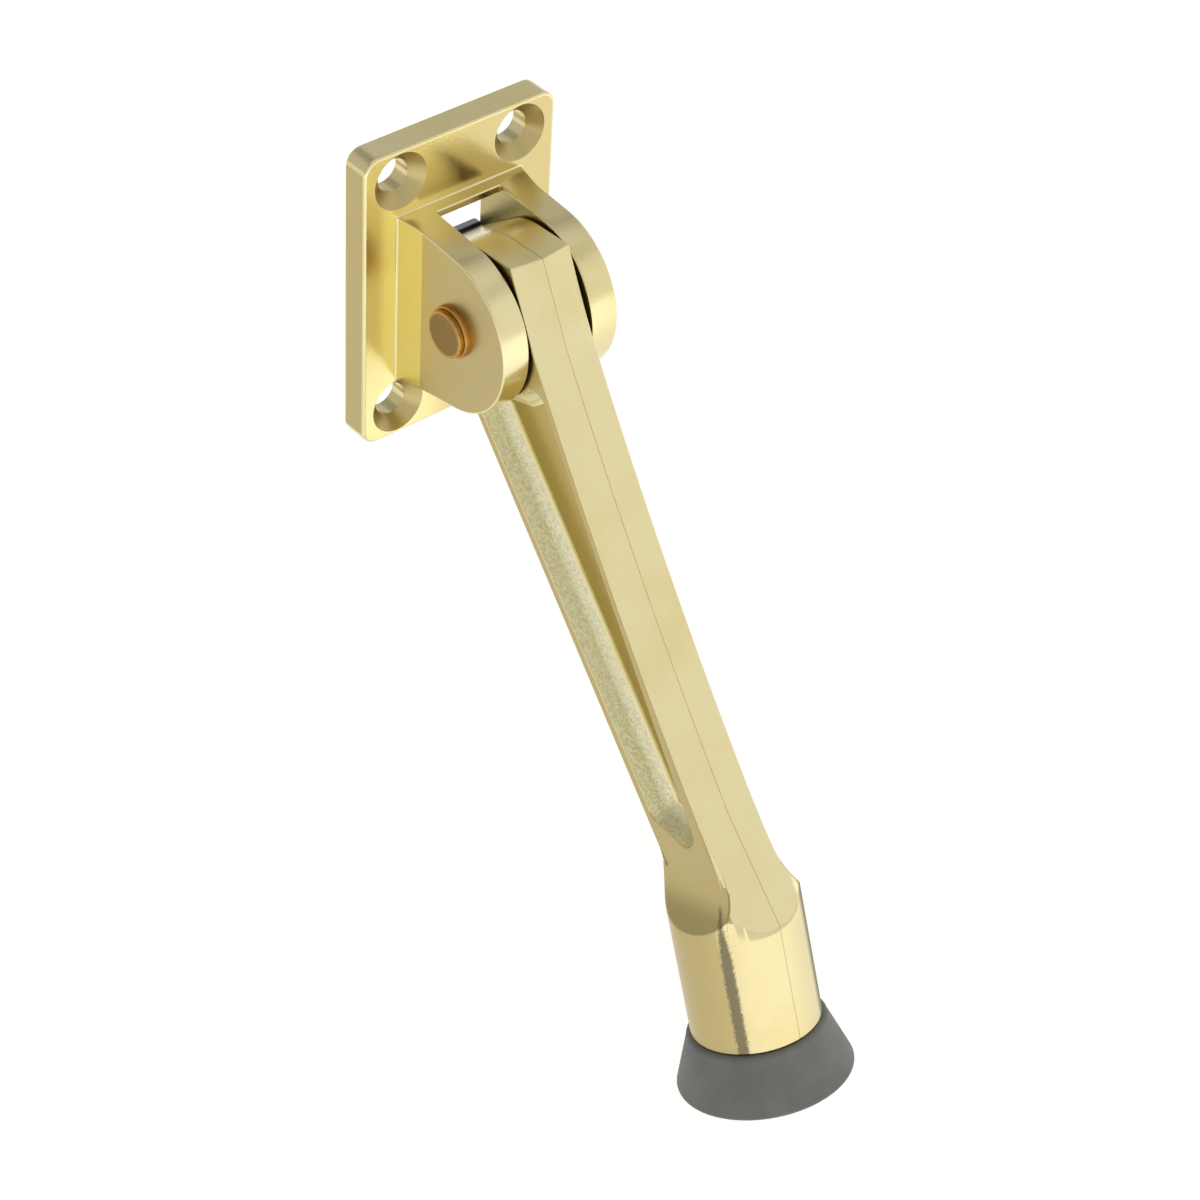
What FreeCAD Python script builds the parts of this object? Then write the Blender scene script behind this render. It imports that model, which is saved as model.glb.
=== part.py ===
import FreeCAD, Part
import Sketcher
import math
import os

# Kick-down door holder: a die-cast bracket with two ears is screwed to the foot of a door, and a
# die-cast arm turns on a riveted pin between the ears. The arm ends in a round socket that holds a
# rubber foot. A flat leaf spring behind the arm's hub bears on the hub's flats.
#
# Frame: millimetres. X runs across the door, -Y points away from the door and +Z up. The origin is
# the middle of the bracket's back, on the door's face.

# Driving sizes
SIZES = [
    # bracket plate
    ("plate_width", 28.6),
    ("plate_height", 41.2),
    ("plate_depth", 3.9),
    ("plate_skin", 1.95),
    ("plate_rim", 2.4),
    ("plate_corner", 2.2),
    ("edge_round", 0.4),
    # screw holes
    ("screw_row", 17.9),
    ("screw_column", 32.6),
    ("screw_bore", 4.4),
    ("screw_sink", 7.5),
    ("screw_boss", 6.8),
    # ears
    ("ear_span", 17.4),
    ("ear_gap", 9.7),
    ("ear_nose", 10.7),
    ("ear_reach", 12.8),
    ("ear_top", 11.45),
    ("ear_foot", 12.4),
    ("flank_spread", 0.7),
    ("flank_reach", 3.9),
    ("lip_depth", 1.6),
    ("lip_height", 1.2),
    # pivot
    ("pivot_rise", 0.6),
    ("pin_shank", 5.0),
    ("pin_head", 6.7),
    ("pin_head_height", 1.5),
    ("pin_head_round", 0.45),
    ("bore_play", 0.05),
    # leaf spring and its studs
    ("spring_width", 10.4),
    ("spring_thickness", 1.0),
    ("spring_rise", 3.6),
    ("spring_clearance", 0.3),
    ("spring_corner", 0.7),
    ("stud_row", 5.6),
    ("stud_drop", 14.6),
    ("stud_width", 2.2),
    ("stud_play", 0.05),
    ("stud_head", 3.2),
    ("stud_head_height", 0.6),
    # arm, measured from the pivot with the socket upright
    ("rest_angle", 20.2),
    ("arm_width", 8.9),
    ("hub_radius", 9.55),
    ("cam_flat_reach", 9.45),
    ("cam_flat_turn", 75.0),
    ("cam_clearance", 0.14),
    ("brow_reach", 7.95),
    ("brow_rise", 7.3),
    ("front_knee_reach", 9.2),
    ("front_knee_drop", 4.0),
    ("front_low_reach", 24.0),
    ("front_low_drop", 62.5),
    ("front_bow", 470.0),
    ("front_toe_reach", 29.3),
    ("front_toe_drop", 74.2),
    ("front_crown", 0.5),
    ("front_round", 0.35),
    ("back_low_reach", 18.2),
    ("back_low_drop", 76.0),
    ("web_thickness", 2.0),
    ("recess_lead", 0.5),
    ("recess_draft", 10.0),
    ("recess_front_rail", 2.0),
    ("recess_low_rail", 2.4),
    ("recess_top_share", 0.04),
    ("recess_low_share", 1.095),
    ("recess_back_rail", 1.2),
    ("recess_hub_radius", 10.3),
    ("recess_length", 65.0),
    ("recess_bow", 1100.0),
    ("recess_corner", 1.6),
    ("recess_root", 1.4),
    # socket
    ("socket_reach", 22.25),
    ("socket_radius", 8.4),
    ("socket_end_drop", 92.7),
    ("flare_top_drop", 63.0),
    ("flare_foot_drop", 75.4),
    ("cut_margin", 1.0),
    ("socket_bore", 12.0),
    ("socket_bore_depth", 11.0),
    # rubber foot
    ("foot_height", 7.6),
    ("foot_top_width", 18.2),
    ("foot_sole_width", 22.7),
    ("foot_round", 0.8),
    ("stem_play", 0.05),
    ("stem_gap", 0.5),
]

doc = FreeCAD.newDocument("door_holder")
sheet = doc.addObject("Spreadsheet::Sheet", "sizes")
for row, (alias, number) in enumerate(SIZES, start=1):
    sheet.set(f"A{row}", alias)
    sheet.set(f"B{row}", str(number))
    sheet.setAlias(f"B{row}", alias)
doc.recompute()


class Length:
    """A number together with the sheet formula that it comes from."""

    def __init__(self, value, text):
        self.value = float(value)
        self.text = text

    def __add__(self, other):
        other = length(other)
        return Length(self.value + other.value, f"({self.text} + {other.text})")

    def __sub__(self, other):
        other = length(other)
        return Length(self.value - other.value, f"({self.text} - {other.text})")

    def __mul__(self, other):
        other = length(other)
        return Length(self.value * other.value, f"({self.text} * {other.text})")

    def __truediv__(self, other):
        other = length(other)
        return Length(self.value / other.value, f"({self.text} / {other.text})")

    def __neg__(self):
        return Length(-self.value, f"(-1 * {self.text})")

    def __radd__(self, other):
        return length(other) + self

    def __rsub__(self, other):
        return length(other) - self

    def __rmul__(self, other):
        return length(other) * self


def length(number):
    """A plain number as a Length, and a Length as it is."""
    return number if isinstance(number, Length) else Length(number, f"{number}")


def size(alias):
    """A driving size from the sheet."""
    return Length(sheet.get(alias), f"sizes.{alias}")


def sine(angle):
    return Length(math.sin(math.radians(angle.value)), f"sin({angle.text} * 1 deg)")


def cosine(angle):
    return Length(math.cos(math.radians(angle.value)), f"cos({angle.text} * 1 deg)")


def root(term):
    return Length(math.sqrt(term.value), f"sqrt({term.text})")


def plane(body, role):
    """One of a body's own origin planes."""
    for feature in body.Origin.OriginFeatures:
        if feature.Role == role:
            return feature


def new_sketch(body, name, role, offset=None):
    """A sketch on an origin plane of its body, moved along the plane's normal by an offset."""
    sketch = body.newObject("Sketcher::SketchObject", name)
    sketch.AttachmentSupport = [(plane(body, role), "")]
    sketch.MapMode = "FlatFace"
    if offset is not None:
        sketch.setExpression("AttachmentOffset.Base.z", offset.text)
    return sketch


def fix(sketch, geometry, spot, x, y):
    """Places one point of a sketch by sizes from the sheet."""
    for kind, term in (("DistanceX", x), ("DistanceY", y)):
        number = sketch.addConstraint(Sketcher.Constraint(kind, -1, 1, geometry, spot, term.value))
        sketch.setExpression(f"Constraints[{number}]", term.text)


def bind(sketch, kind, geometry, term):
    """Gives a radius or a diameter from the sheet to a curve of a sketch."""
    number = sketch.addConstraint(Sketcher.Constraint(kind, geometry, term.value))
    sketch.setExpression(f"Constraints[{number}]", term.text)


def arc_through(start, end, radius, turn):
    """An arc between two points, with its centre left of the way for turn +1, right for -1."""
    chord = end - start
    half = chord.Length / 2
    reach = math.sqrt(max(radius * radius - half * half, 0.0))
    side = FreeCAD.Vector(-chord.y, chord.x, 0).normalize()
    centre = (start + end) / 2 + side * reach * turn
    middle = centre + ((start + end) / 2 - centre).normalize() * radius
    if turn < 0:
        return Part.Arc(end, middle, start)
    return Part.Arc(start, middle, end)


def outline(sketch, corners):
    """A closed outline. Each corner is (x, y), and (x, y, radius, turn) where an arc leads on."""
    first = sketch.GeometryCount
    points = [FreeCAD.Vector(c[0].value, c[1].value, 0) for c in corners]
    count = len(corners)
    for index, corner in enumerate(corners):
        start = points[index]
        end = points[(index + 1) % count]
        if len(corner) == 4:
            sketch.addGeometry(arc_through(start, end, corner[2].value, corner[3]))
        else:
            sketch.addGeometry(Part.LineSegment(start, end))
    ends = []
    for index in range(count):
        curve = sketch.Geometry[first + index]
        flipped = (curve.StartPoint - points[index]).Length > 1e-6
        ends.append((2, 1) if flipped else (1, 2))
    for index, corner in enumerate(corners):
        after = (index + 1) % count
        pair = (first + index, ends[index][1], first + after, ends[after][0])
        sketch.addConstraint(Sketcher.Constraint("Coincident", *pair))
        fix(sketch, first + index, ends[index][0], corner[0], corner[1])
        if len(corner) == 4:
            bind(sketch, "Radius", first + index, corner[2])


def ring(sketch, x, y, radius):
    """A circle placed by sizes from the sheet."""
    centre = FreeCAD.Vector(x.value, y.value, 0)
    upright = FreeCAD.Vector(0, 0, 1)
    number = sketch.addGeometry(Part.Circle(centre, upright, radius.value))
    fix(sketch, number, 3, x, y)
    bind(sketch, "Radius", number, radius)


def pad(body, name, sketch, depth, midplane=False, reverse=False):
    feature = body.newObject("PartDesign::Pad", name)
    feature.Profile = sketch
    feature.setExpression("Length", depth.text)
    feature.Midplane = midplane
    feature.Reversed = reverse
    sketch.Visibility = False
    doc.recompute()
    return feature


def pocket(body, name, sketch, depth, midplane=False, reverse=False, draft=None):
    """A cut, which has to take some of the body away."""
    before = body.Shape.Volume
    feature = body.newObject("PartDesign::Pocket", name)
    feature.Profile = sketch
    feature.setExpression("Length", depth.text)
    feature.Midplane = midplane
    feature.Reversed = reverse
    if draft is not None:
        feature.setExpression("TaperAngle", draft.text)
    doc.recompute()
    if not body.Shape.Volume < before - 1e-3:
        raise RuntimeError(f"{name} cuts nothing")
    return feature


def mirror(body, name, features, role):
    """Copies of features on the far side of an origin plane."""
    feature = body.newObject("PartDesign::Mirrored", name)
    feature.Originals = features
    feature.MirrorPlane = (plane(body, role), [""])
    body.Tip = feature
    doc.recompute()
    return feature


def edges_where(shape, test):
    """Names of the edges whose five sample points pass a test."""
    names = []
    for number, edge in enumerate(shape.Edges, start=1):
        if test(edge.discretize(5)):
            names.append(f"Edge{number}")
    return names


def near(a, b):
    return abs(a - b) < 1e-3


def fillet(body, name, edges, radius):
    base = body.Tip
    feature = body.newObject("PartDesign::Fillet", name)
    feature.Base = (base, edges)
    feature.setExpression("Radius", radius.text)
    doc.recompute()
    return feature


# Bracket
def make_bracket():
    """One casting: plate, two ears with a lip above and below their gap, and the spring's studs."""
    body = doc.addObject("PartDesign::Body", "mounting_bracket")
    body.Label = "mounting_bracket"
    half_width = size("plate_width") / 2
    half_height = size("plate_height") / 2
    corner = size("plate_corner")
    depth = size("plate_depth")

    face = new_sketch(body, "plate_face", "XZ_Plane")
    rounded_box(face, half_width, half_height, corner)
    pad(body, "plate", face, depth)

    # The plate's front edge is slightly rounded all the way round.
    front = -depth.value
    rim = edges_where(body.Shape, lambda points: all(near(point.y, front) for point in points))
    fillet(body, "plate_front_round", rim, size("edge_round"))

    side = new_sketch(body, "ear_side", "YZ_Plane")
    ear_outline(side)
    pad(body, "ear_block", side, size("ear_span") + 2 * size("flank_spread"), midplane=True)
    cut_flanks(body)

    gap = new_sketch(body, "ear_gap_plan", "XY_Plane")
    half_gap = size("ear_gap") / 2
    lip_front = -(depth + size("lip_depth"))
    far = -(size("ear_reach") + size("ear_nose") + size("cut_margin"))
    outline(gap, box(-half_gap, half_gap, far, lip_front))
    pocket(body, "ear_gap_cut", gap, size("plate_height"), midplane=True)

    window = new_sketch(body, "window_face", "XZ_Plane")
    window_top = size("ear_top") - size("lip_height")
    window_foot = -(size("ear_foot") - size("lip_height"))
    outline(window, box(-half_gap, half_gap, window_foot, window_top))
    pocket(body, "window_cut", window, depth + size("lip_depth") + size("cut_margin"), reverse=True)

    hollow = new_sketch(body, "back_hollow_face", "XZ_Plane")
    rim_width = size("plate_rim")
    rounded_box(hollow, half_width - rim_width, half_height - rim_width, corner / 2)
    pocket(body, "back_hollow", hollow, depth - size("plate_skin"), reverse=True)

    add_bosses(body)
    add_studs(body)
    drill_screw_holes(body)

    bore = new_sketch(body, "pin_bore_side", "YZ_Plane")
    ring(bore, -pivot_reach(), size("pivot_rise"), size("pin_shank") / 2)
    pocket(body, "pin_bore", bore, size("ear_span") + size("cut_margin"), midplane=True)
    return body


def box(left, right, low, high):
    """Corners of a rectangle for outline."""
    return [(left, low), (right, low), (right, high), (left, high)]


def rounded_box(sketch, half_width, half_height, radius):
    """A rectangle about the origin whose corners are quarter circles."""
    in_width = half_width - radius
    in_height = half_height - radius
    outline(sketch, [
        (-in_width, -half_height),
        (in_width, -half_height, radius, 1),
        (half_width, -in_height),
        (half_width, in_height, radius, 1),
        (in_width, half_height),
        (-in_width, half_height, radius, 1),
        (-half_width, in_height),
        (-half_width, -in_height, radius, 1),
    ])


def tangent_point(centre_x, centre_y, radius, from_x, from_y, side):
    """Where a line from a point touches a circle, above it for side +1 and below it for -1."""
    away_x = from_x - centre_x
    away_y = from_y - centre_y
    square = away_x * away_x + away_y * away_y
    along = radius * radius / square
    across = radius * root(square - radius * radius) / square
    return (centre_x + along * away_x - side * across * away_y,
            centre_y + along * away_y + side * across * away_x)


def ear_outline(sketch):
    """Side view of the ears: a round nose with tangent lines back to the plate."""
    reach = -size("ear_reach")
    nose = size("ear_nose")
    root_y = -(size("plate_depth") - size("plate_skin") / 2)
    front_y = -size("plate_depth")
    top = size("ear_top")
    foot = -size("ear_foot")
    level = length(0)
    high = tangent_point(reach, level, nose, front_y, top, 1)
    low = tangent_point(reach, level, nose, front_y, foot, -1)
    outline(sketch, [
        (root_y, top),
        (front_y, top),
        (high[0], high[1], nose, 1),
        (low[0], low[1]),
        (front_y, foot),
        (root_y, foot),
    ])


def cut_flanks(body):
    """The ears' outer faces, which spread a little where they run into the plate."""
    outer = size("ear_span") / 2
    spread = outer + size("flank_spread")
    front_y = -size("plate_depth")
    knee_y = front_y - size("flank_reach")
    far = -(size("ear_reach") + size("ear_nose") + size("cut_margin"))
    clear = spread + size("cut_margin")
    plan = new_sketch(body, "flank_plan", "XY_Plane")
    outline(plan, [
        (spread, front_y),
        (outer, knee_y),
        (outer, far),
        (clear, far),
        (clear, front_y),
    ])
    cut = pocket(body, "flank_cut", plan, size("plate_height"), midplane=True)
    mirror(body, "flank_cut_pair", [cut], "YZ_Plane")


def add_studs(body):
    """Two studs cast on the plate's back, peened over to hold the leaf spring's foot."""
    skin_back = size("plate_depth") - size("plate_skin")
    spring = size("spring_thickness")
    head = size("stud_head_height")
    half_row = size("stud_row") / 2
    drop = -size("stud_drop")
    for name, radius, start, height in (
        ("studs", size("stud_width") / 2, skin_back, spring),
        ("stud_heads", size("stud_head") / 2, skin_back - spring, head),
    ):
        spots = new_sketch(body, f"{name}_face", "XZ_Plane", start)
        ring(spots, half_row, drop, radius)
        ring(spots, -half_row, drop, radius)
        pad(body, name, spots, height, reverse=True)


def screw_spots(body, name, radius, offset=None):
    """Four rings, one at each corner of the plate."""
    spots = new_sketch(body, name, "XZ_Plane", offset)
    half_row = size("screw_row") / 2
    half_column = size("screw_column") / 2
    for x in (half_row, -half_row):
        for z in (half_column, -half_column):
            ring(spots, x, z, radius)
    return spots


def add_bosses(body):
    """A boss in the hollow back behind each screw hole, level with the plate's rim."""
    spots = screw_spots(body, "boss_spots", size("screw_boss") / 2)
    pad(body, "screw_bosses", spots, size("plate_depth") - size("plate_skin") / 2)


def drill_screw_holes(body):
    """Four countersunk holes from the plate's front to the door."""
    spots = screw_spots(body, "hole_spots", size("screw_bore") / 2, size("plate_depth"))
    doc.recompute()
    before = body.Shape.Volume
    hole = body.newObject("PartDesign::Hole", "screw_holes")
    hole.Profile = spots
    doc.recompute()
    hole.DepthType = "ThroughAll"
    hole.HoleCutType = "Countersink"
    hole.HoleCutCustomValues = True
    hole.setExpression("Diameter", size("screw_bore").text)
    hole.setExpression("HoleCutDiameter", size("screw_sink").text)
    hole.HoleCutCountersinkAngle = 90
    doc.recompute()
    if not body.Shape.Volume < before - 1e-3:
        raise RuntimeError("screw_holes cut nothing")


# Leaf spring
def make_spring():
    """A flat steel strip behind the hub, with two holes for the studs at its foot."""
    body = doc.addObject("PartDesign::Body", "leaf_spring")
    body.Label = "leaf_spring"
    half = size("spring_width") / 2
    corner = size("spring_corner")
    top = size("pivot_rise") + size("spring_rise")
    foot = size("plate_rim") + size("spring_clearance") - size("plate_height") / 2
    skin_back = size("plate_depth") - size("plate_skin")
    face = new_sketch(body, "spring_face", "XZ_Plane", skin_back - size("spring_thickness"))
    outline(face, [
        (-half, foot),
        (half, foot),
        (half, top - corner, corner, 1),
        (half - corner, top),
        (corner - half, top, corner, 1),
        (-half, top - corner),
    ])
    for side in (1, -1):
        hole = size("stud_width") / 2 + size("stud_play")
        ring(face, side * size("stud_row") / 2, -size("stud_drop"), hole)
    pad(body, "strip", face, size("spring_thickness"))
    return body


# Pivot pin
def make_pin():
    """A rivet across the ears, turned about X, with its formed head like the other one."""
    body = doc.addObject("PartDesign::Body", "pivot_pin")
    body.Label = "pivot_pin"
    half_span = size("ear_span") / 2
    end = half_span + size("pin_head_height")
    shank = size("pin_shank") / 2
    head = size("pin_head") / 2
    bend = size("pin_head_round")
    turned = new_sketch(body, "pin_profile", "XY_Plane")
    zero = length(0)
    outline(turned, [
        (-end, zero),
        (end, zero),
        (end, head - bend, bend, 1),
        (end - bend, head),
        (half_span, head),
        (half_span, shank),
        (-half_span, shank),
        (-half_span, head),
        (bend - end, head, bend, 1),
        (-end, head - bend),
    ])
    feature = body.newObject("PartDesign::Revolution", "pin")
    feature.Profile = turned
    feature.ReferenceAxis = (turned, ["H_Axis"])
    feature.Angle = 360
    turned.Visibility = False
    place(body, "Placement.Base.y", -pivot_reach())
    place(body, "Placement.Base.z", size("pivot_rise"))
    doc.recompute()
    return body


def place(body, name, term):
    body.setExpression(name, term.text)


def pivot_reach():
    """How far the pivot stands off the door: the arm's cam corner just clears the pressed spring."""
    spring_front = size("plate_depth") - size("plate_skin")
    corner_reach = size("cam_flat_reach") / cosine(size("cam_flat_turn") / 2)
    return spring_front + corner_reach + size("cam_clearance")


# Arm
def hang(body):
    """Puts a body drawn about the pivot, with its socket upright, at the arm's resting angle."""
    place(body, "Placement.Base.y", -pivot_reach())
    place(body, "Placement.Base.z", size("pivot_rise"))
    body.Placement.Rotation = FreeCAD.Rotation(FreeCAD.Vector(-1, 0, 0), 1)
    place(body, "Placement.Rotation.Angle", size("rest_angle"))


def along(start, end, share):
    """The point that lies a share of the way from one point to another."""
    return (start[0] + (end[0] - start[0]) * share, start[1] + (end[1] - start[1]) * share)


def front_edge(crown):
    """The knee under the hub and the low end of the bar's bowed front."""
    knee = (-(size("front_knee_reach") + crown), -size("front_knee_drop"))
    low = (-(size("front_low_reach") + crown), -size("front_low_drop"))
    return knee, low


def back_line():
    """Where the back line touches the hub, its unit normal and its way down."""
    radius = size("hub_radius")
    low = (-size("back_low_reach"), -size("back_low_drop"))
    touch = tangent_point(length(0), length(0), radius, low[0], low[1], 1)
    normal = (touch[0] / radius, touch[1] / radius)
    down = (normal[1], -normal[0])
    return touch, normal, down


def arm_side(sketch):
    """Side view of the hub and bar on the middle line, the front towards -Y."""
    zero = length(0)
    radius = size("hub_radius")
    flat = size("cam_flat_reach")
    share = root(radius * radius - flat * flat)
    turn = size("cam_flat_turn")
    rise = flat * sine(turn / 2) / cosine(turn / 2)
    end_y = flat * cosine(turn) - share * sine(turn)
    end_z = flat * sine(turn) + share * cosine(turn)
    crown = size("front_crown")
    brow = (-(size("brow_reach") + crown), size("brow_rise"))
    brow_touch = tangent_point(zero, zero, radius, brow[0], brow[1], -1)
    knee, low = front_edge(crown)
    touch, normal, down = back_line()
    outline(sketch, [
        (flat, -share),
        (flat, rise),
        (end_y, end_z, radius, 1),
        brow_touch,
        brow,
        (knee[0], knee[1], size("front_bow"), -1),
        low,
        (-(size("front_toe_reach") + crown), -size("front_toe_drop")),
        (-size("back_low_reach"), -size("back_low_drop")),
        (touch[0], touch[1], radius, 1),
    ])


def make_arm():
    """Hub, bar and socket in one casting, with a deep recess in each side of the bar."""
    body = doc.addObject("PartDesign::Body", "holder_arm")
    body.Label = "holder_arm"
    side = new_sketch(body, "arm_side", "YZ_Plane")
    arm_side(side)
    pad(body, "bar", side, size("arm_width"), midplane=True)
    crown_front(body)
    round_front(body)
    add_socket(body)
    trim_front(body)
    trim_flanks(body)
    cut_recesses(body)
    bore = new_sketch(body, "hub_bore_side", "YZ_Plane")
    ring(bore, length(0), length(0), size("pin_shank") / 2 + size("bore_play"))
    pocket(body, "hub_bore", bore, size("arm_width") + size("cut_margin"), midplane=True)
    hang(body)
    doc.recompute()
    return body


def crown_front(body):
    """The bar's front face falls away on both sides of the parting line."""
    half = size("arm_width").value / 2
    front = -size("brow_reach").value

    def is_front(points):
        on_side = all(near(abs(point.x), half) for point in points)
        forward = max(point.y for point in points) < front
        return on_side and forward and abs(points[0].z - points[-1].z) > half

    edges = edges_where(body.Shape, is_front)
    base = body.Tip
    chamfer = body.newObject("PartDesign::Chamfer", "front_fall")
    chamfer.Base = (base, edges)
    chamfer.ChamferType = "Two distances"
    chamfer.FlipDirection = True
    chamfer.setExpression("Size", size("front_crown").text)
    chamfer.setExpression("Size2", (size("arm_width") / 2 - size("front_crown") / 4).text)
    doc.recompute()


def add_socket(body):
    """A round socket turned about its own upright axis, its top buried in the bar."""
    axis = -size("socket_reach")
    radius = size("socket_radius")
    end = -size("socket_end_drop")
    top = -size("flare_top_drop")
    lip = size("edge_round")
    bore = size("socket_bore") / 2
    bore_top = end + size("socket_bore_depth")
    turned = new_sketch(body, "socket_profile", "YZ_Plane")
    outline(turned, [
        (axis, bore_top),
        (axis + bore, bore_top),
        (axis + bore, end),
        (axis + radius - lip, end, lip, 1),
        (axis + radius, end + lip),
        (axis + radius, top),
        (axis, top),
    ])
    revolve(body, "socket", turned, axis, end, top)


def revolve(body, name, sketch, axis, low, high):
    """Turns a sketch about an upright line of its own."""
    spine = sketch.addGeometry(Part.LineSegment(
        FreeCAD.Vector(axis.value, low.value, 0), FreeCAD.Vector(axis.value, high.value, 0)), True)
    fix(sketch, spine, 1, axis, low)
    fix(sketch, spine, 2, axis, high)
    doc.recompute()
    feature = body.newObject("PartDesign::Revolution", name)
    feature.Profile = sketch
    feature.ReferenceAxis = (sketch, ["Axis0"])
    feature.Angle = 360
    sketch.Visibility = False
    doc.recompute()


def round_front(body):
    """A small round along both edges of the bar's front, from the brow down to the socket."""
    half = size("arm_width").value / 2
    front = -size("brow_reach").value
    foot = -(size("front_low_drop").value + size("front_round").value)

    def is_front(points):
        on_side = all(near(abs(point.x), half) for point in points)
        forward = max(point.y for point in points) < front + size("front_crown").value / 4
        above = min(point.z for point in points) > foot
        return on_side and forward and above and abs(points[0].z - points[-1].z) > half

    fillet(body, "front_edges", edges_where(body.Shape, is_front), size("front_round"))


def trim_front(body):
    """The socket's top is cut off along the bar's front, with the same fall to both sides."""
    crown = size("front_crown")
    knee, low = front_edge(crown)
    toe = (-(size("front_toe_reach") + crown), -size("front_toe_drop"))
    clear = -(size("socket_reach") + size("socket_radius") + size("cut_margin"))
    step_y = toe[0] - low[0]
    step_z = toe[1] - low[1]
    way = root(step_y * step_y + step_z * step_z)
    plan = new_sketch(body, "shoulder_front_plan", "XY_Plane")
    plan.setExpression("AttachmentOffset.Base.y", low[0].text)
    plan.setExpression("AttachmentOffset.Base.z", low[1].text)
    plan.AttachmentOffset.Rotation = FreeCAD.Rotation(FreeCAD.Vector(1, 0, 0), -1)
    plan.setExpression("AttachmentOffset.Rotation.Angle", f"-acos({(-step_z / way).text})")
    fall_run = size("arm_width") / 2 - crown / 4
    strip = crown / 4
    wide = size("socket_radius") + size("cut_margin")
    fall = crown * (wide - strip) / fall_run
    ahead = -size("socket_radius")
    outline(plan, [
        (-wide, ahead),
        (wide, ahead),
        (wide, fall),
        (strip, length(0)),
        (-strip, length(0)),
        (-wide, fall),
    ])
    pocket(body, "shoulder_front", plan, way * (clear - low[0]) / step_y)


def trim_flanks(body):
    """A flare on each side leads the bar's flat flank out to the round socket."""
    half = size("arm_width") / 2
    spread = size("socket_radius") - half
    start = -size("flare_top_drop")
    foot = -size("flare_foot_drop")
    drop = start - foot
    bend = (drop * drop + spread * spread) / (2 * spread)
    wide = size("socket_radius") + size("cut_margin")
    above = start + size("cut_margin")
    sides = new_sketch(body, "shoulder_flare_front", "XZ_Plane")
    outline(sides, [
        (half, start),
        (half, above),
        (wide, above),
        (wide, foot),
        (half + spread, foot, bend, 1),
    ])
    cut = pocket(body, "shoulder_flare", sides, 2 * size("socket_reach") + 2 * wide, midplane=True)
    mirror(body, "shoulder_flare_pair", [cut], "YZ_Plane")


def recess_outline(sketch):
    """Side view of the recess, between a front rail and a back rail."""
    radius = size("hub_radius")
    knee, low = front_edge(length(0))
    rail = size("recess_front_rail")
    high_front = along(knee, low, size("recess_top_share"))
    low_front = along(knee, low, size("recess_low_share"))
    touch, normal, down = back_line()
    wall = radius - size("recess_back_rail")
    hub = size("recess_hub_radius")
    start = root(hub * hub - wall * wall)
    reach = size("recess_length")
    outline(sketch, [
        (high_front[0] + rail, high_front[1], size("recess_bow"), -1),
        (low_front[0] + size("recess_low_rail"), low_front[1]),
        (normal[0] * wall + down[0] * reach, normal[1] * wall + down[1] * reach),
        (normal[0] * wall + down[0] * start, normal[1] * wall + down[1] * start, hub, -1),
    ])


def cut_recesses(body):
    """A deep drafted recess in each side, with a web left on the middle line."""
    start = size("arm_width") / 2 + size("recess_lead")
    depth = start - size("web_thickness") / 2
    draft = -size("recess_draft")
    for name, plane_offset, flipped in (("right", start, False), ("left", -start, True)):
        side = new_sketch(body, f"recess_{name}_side", "YZ_Plane", plane_offset)
        recess_outline(side)
        pocket(body, f"recess_{name}", side, depth, reverse=flipped, draft=draft)
    floor = size("web_thickness").value / 2
    rim = size("arm_width").value / 2

    def is_corner(points):
        spans = sorted(abs(point.x) for point in (points[0], points[-1]))
        return near(spans[0], floor) and near(spans[1], rim)

    def is_root(points):
        return all(near(abs(point.x), floor) for point in points)

    fillet(body, "recess_corners", edges_where(body.Shape, is_corner), size("recess_corner"))
    fillet(body, "recess_roots", edges_where(body.Shape, is_root), size("recess_root"))


# Rubber foot
def make_foot():
    """A turned rubber foot with a stem that is pressed up into the socket."""
    body = doc.addObject("PartDesign::Body", "rubber_foot")
    body.Label = "rubber_foot"
    axis = -size("socket_reach")
    top = -size("socket_end_drop")
    sole = top - size("foot_height")
    stem = size("socket_bore") / 2 - size("stem_play")
    stem_top = top + size("socket_bore_depth") - size("stem_gap")
    wide = size("foot_sole_width") / 2
    narrow = size("foot_top_width") / 2
    bend = size("foot_round")
    edge = size("edge_round")
    turned = new_sketch(body, "foot_profile", "YZ_Plane")
    outline(turned, [
        (axis, sole),
        (axis + wide - edge, sole, edge, 1),
        (axis + wide, sole + edge),
        (axis + narrow, top - bend, bend, 1),
        (axis + narrow - bend, top),
        (axis + stem, top),
        (axis + stem, stem_top),
        (axis, stem_top),
    ])
    revolve(body, "foot", turned, axis, sole, top)
    hang(body)
    doc.recompute()
    return body


# Build, check and write
def check(bodies):
    """Stops if any object of the document failed or any shape is unsound."""
    for item in doc.Objects:
        if {"Invalid", "Error"} & set(item.State):
            raise RuntimeError(f"{item.Name} failed: {item.State}")
    for body in bodies:
        if body.Shape.isNull() or not body.Shape.isValid():
            raise RuntimeError(f"{body.Label} has no sound shape")


def write(bodies):
    os.makedirs("parts", exist_ok=True)
    for body in bodies:
        body.Shape.exportStep(f"parts/{body.Label}.step")


pieces = [make_bracket(), make_spring(), make_pin(), make_arm(), make_foot()]
doc.recompute()
check(pieces)
write(pieces)
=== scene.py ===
# %% [markdown]
# Kick-down door holder: a brass-plated bracket, an arm that swings down from it, and a rubber foot.
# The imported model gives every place. Shapes are drawn here in millimetres, because small numbers are
# easy to read and easy for the cutting tools, and are made metres at the end. Angles are written in degrees.

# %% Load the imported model
import math

import bmesh
import bpy
from mathutils import Matrix, Vector


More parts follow.
